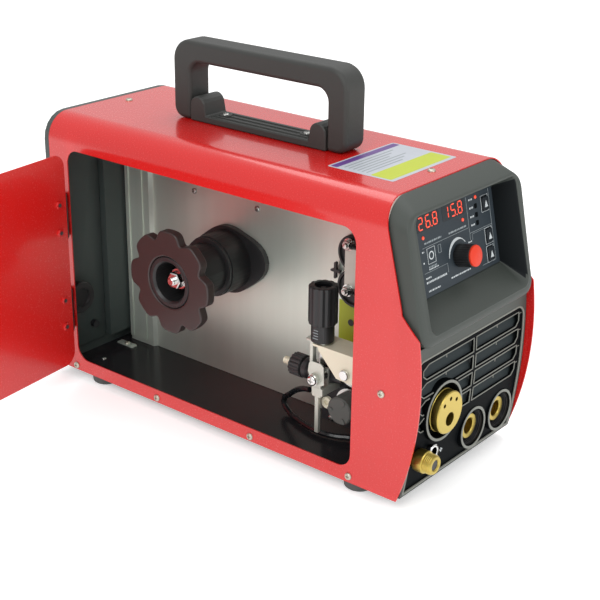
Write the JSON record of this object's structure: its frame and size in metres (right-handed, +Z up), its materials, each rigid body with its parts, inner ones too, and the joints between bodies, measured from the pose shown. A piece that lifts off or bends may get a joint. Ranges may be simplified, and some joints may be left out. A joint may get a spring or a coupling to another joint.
{
  "type": "mig welding machine",
  "caption": "Portable wire-feed welding machine with a hinged side door open on its spool hub and wire drive, a hooded control panel and front torch and cable sockets.",
  "frame": {"origin": "centre of the base pan's underside, midway across the cabinet and at the cabinet's lower edge", "axes": "+X toward the front panel, +Y toward the closed side away from the wire compartment, +Z up"},
  "size_m": [0.4708, 0.5307, 0.347],
  "materials": {
    "base_pan": "satin black paint",
    "cable_gland": "black moulded nylon",
    "control_board": "green circuit board",
    "control_hood": "fine grain dark grey moulding",
    "control_socket": "bright plated",
    "dinse_insert_left": "turned brass",
    "dinse_insert_right": "turned brass",
    "dinse_insulator_left": "black moulded nylon",
    "dinse_insulator_right": "black moulded nylon",
    "display_panel": "gloss black panel",
    "door_latch": "black moulded nylon",
    "door_panel": "smooth glossy red powder coat",
    "drive_motor": "black coated steel",
    "drive_roll": "bright machined steel",
    "drive_roll_cap": "black moulded nylon",
    "encoder_cap": "red cap",
    "encoder_knob": "black moulded nylon",
    "euro_insulator": "black moulded nylon",
    "euro_socket": "turned brass",
    "fan_frame": "black moulded nylon",
    "fan_rotor": "black moulded nylon",
    "feed_bracket": "satin cream coating",
    "feed_plate": "satin dark grey casting",
    "foot_front_far": "black rubber",
    "foot_front_near": "black rubber",
    "foot_rear_far": "black rubber",
    "foot_rear_near": "black rubber",
    "front_panel": "fine grain dark grey moulding",
    "gas_inlet": "turned brass",
    "gas_outlet": "turned brass",
    "handle_base": "grained dark grey moulding",
    "handle_grip": "grained dark grey moulding",
    "heatsink": "extruded",
    "hinge_frame_lower": "black coated steel",
    "hinge_frame_upper": "black coated steel",
    "hinge_leaf_lower": "black coated steel",
    "hinge_leaf_upper": "black coated steel",
    "hub_barrel": "black moulded nylon",
    "hub_bolt": "bright plated",
    "hub_flange": "black moulded nylon",
    "hub_star_nut": "black moulded nylon",
    "inlet_guide": "bright machined steel",
    "inlet_nut": "black moulded nylon",
    "inverter_board": "green circuit board",
    "key_lower": "black moulded nylon",
    "key_middle": "black moulded nylon",
    "key_upper": "black moulded nylon",
    "outer_shell": "smooth glossy red powder coat",
    "outlet_guide": "turned brass",
    "partition_wall": "galvanised sheet",
    "polarity_lead": "black rubber",
    "power_switch": "black moulded nylon",
    "pressure_arm": "satin cream coating",
    "pressure_roll": "bright machined steel",
    "rear_panel": "fine grain dark grey moulding",
    "tension_knob": "black moulded nylon",
    "tension_rod": "bright machined steel",
    "terminal_block": "black moulded nylon",
    "transformer": "bright machined steel"
  },
  "bodies": {
    "chassis": {"base_pan": "base_pan", "cable_gland": "cable_gland", "control_board": "control_board", "control_hood": "control_hood", "control_socket": "control_socket", "dinse_insert_left": "dinse_insert_left", "dinse_insert_right": "dinse_insert_right", "dinse_insulator_left": "dinse_insulator_left", "dinse_insulator_right": "dinse_insulator_right", "display_panel": "display_panel", "drive_motor": "drive_motor", "euro_insulator": "euro_insulator", "euro_socket": "euro_socket", "fan_frame": "fan_frame", "feed_bracket": "feed_bracket", "feed_plate": "feed_plate", "foot_front_far": "foot_front_far", "foot_front_near": "foot_front_near", "foot_rear_far": "foot_rear_far", "foot_rear_near": "foot_rear_near", "front_panel": "front_panel", "gas_inlet": "gas_inlet", "gas_outlet": "gas_outlet", "handle_base": "handle_base", "handle_grip": "handle_grip", "heatsink": "heatsink", "hinge_frame_lower": "hinge_frame_lower", "hinge_frame_upper": "hinge_frame_upper", "hub_bolt": "hub_bolt", "hub_flange": "hub_flange", "inlet_guide": "inlet_guide", "inverter_board": "inverter_board", "outer_shell": "outer_shell", "outlet_guide": "outlet_guide", "partition_wall": "partition_wall", "polarity_lead": "polarity_lead", "rear_panel": "rear_panel", "terminal_block": "terminal_block", "transformer": "transformer"},
    "door": {"door_panel": "door_panel", "hinge_leaf_upper": "hinge_leaf_upper", "hinge_leaf_lower": "hinge_leaf_lower"},
    "latch": {"door_latch": "door_latch"},
    "spool_hub": {"hub_barrel": "hub_barrel"},
    "star_nut": {"hub_star_nut": "hub_star_nut"},
    "feed_roll": {"drive_roll": "drive_roll", "drive_roll_cap": "drive_roll_cap"},
    "swing_arm": {"pressure_arm": "pressure_arm"},
    "top_roll": {"pressure_roll": "pressure_roll"},
    "tensioner": {"tension_rod": "tension_rod"},
    "tensioner_knob": {"tension_knob": "tension_knob"},
    "wire_nut": {"inlet_nut": "inlet_nut"},
    "encoder": {"encoder_knob": "encoder_knob", "encoder_cap": "encoder_cap"},
    "upper_key": {"key_upper": "key_upper"},
    "middle_key": {"key_middle": "key_middle"},
    "lower_key": {"key_lower": "key_lower"},
    "switch_rocker": {"power_switch": "power_switch"},
    "fan": {"fan_rotor": "fan_rotor"}
  },
  "joints": [
    {"name": "door_swing", "type": "hinge", "parent": "chassis", "child": "door", "pos_m": [-0.1875, -0.0965, 0.1175], "axis": [0, 0, 1], "range_deg": [-30, 84]},
    {"name": "door_latch_turn", "type": "hinge", "parent": "door", "child": "latch", "pos_m": [-0.14659, -0.42352, 0.123], "axis": [-0.9945, -0.1045, 0], "range_deg": [-90, 0]},
    {"name": "spool_spin", "type": "hinge", "parent": "chassis", "child": "spool_hub", "pos_m": [-0.057, -0.03, 0.128], "axis": [0, 1, 0], "continuous": true},
    {"name": "star_nut_turn", "type": "hinge", "parent": "spool_hub", "child": "star_nut", "pos_m": [-0.057, -0.08, 0.128], "axis": [0, 1, 0], "continuous": true},
    {"name": "feed_roll_spin", "type": "hinge", "parent": "chassis", "child": "feed_roll", "pos_m": [0.129, -0.04, 0.049], "axis": [0, 1, 0], "continuous": true},
    {"name": "pressure_arm_lift", "type": "hinge", "parent": "chassis", "child": "swing_arm", "pos_m": [0.148, -0.045, 0.088], "axis": [0, 1, 0], "range_deg": [0, 6]},
    {"name": "pressure_roll_spin", "type": "hinge", "parent": "swing_arm", "child": "top_roll", "pos_m": [0.129, -0.04, 0.082], "axis": [0, 1, 0], "continuous": true},
    {"name": "tensioner_swing", "type": "hinge", "parent": "chassis", "child": "tensioner", "pos_m": [0.097, -0.05, 0.0685], "axis": [0, 1, 0], "range_deg": [-50, 0]},
    {"name": "tension_knob_turn", "type": "hinge", "parent": "tensioner", "child": "tensioner_knob", "pos_m": [0.097, -0.05, 0.13], "axis": [0, 0, 1], "continuous": true},
    {"name": "inlet_nut_turn", "type": "hinge", "parent": "chassis", "child": "wire_nut", "pos_m": [0.061, -0.04, 0.065], "axis": [1, 0, 0], "continuous": true},
    {"name": "encoder_turn", "type": "hinge", "parent": "chassis", "child": "encoder", "pos_m": [0.19511, 0.0103, 0.1904], "axis": [0.9768, 0, 0.2139], "continuous": true},
    {"name": "power_switch_rock", "type": "hinge", "parent": "chassis", "child": "switch_rocker", "pos_m": [-0.203, 0.03, 0.2], "axis": [0, 1, 0], "range_deg": [0, 12]},
    {"name": "fan_spin", "type": "hinge", "parent": "chassis", "child": "fan", "pos_m": [-0.188, 0.046, 0.095], "axis": [1, 0, 0], "continuous": true},
    {"name": "key_upper_press", "type": "slide", "parent": "chassis", "child": "upper_key", "axis": [-0.9768, 0, -0.2139], "range_m": [0, 0.001], "stiffness_N_per_m": 300},
    {"name": "key_middle_press", "type": "slide", "parent": "chassis", "child": "middle_key", "axis": [-0.9768, 0, -0.2139], "range_m": [0, 0.001], "stiffness_N_per_m": 300},
    {"name": "key_lower_press", "type": "slide", "parent": "chassis", "child": "lower_key", "axis": [-0.9768, 0, -0.2139], "range_m": [0, 0.001], "stiffness_N_per_m": 300}
  ],
  "couplings": [
    {"joint": "pressure_roll_spin", "follows": "feed_roll_spin", "ratio": -0.975},
    {"joint": "pressure_arm_lift", "follows": "tensioner_swing", "ratio": -0.12}
  ]
}
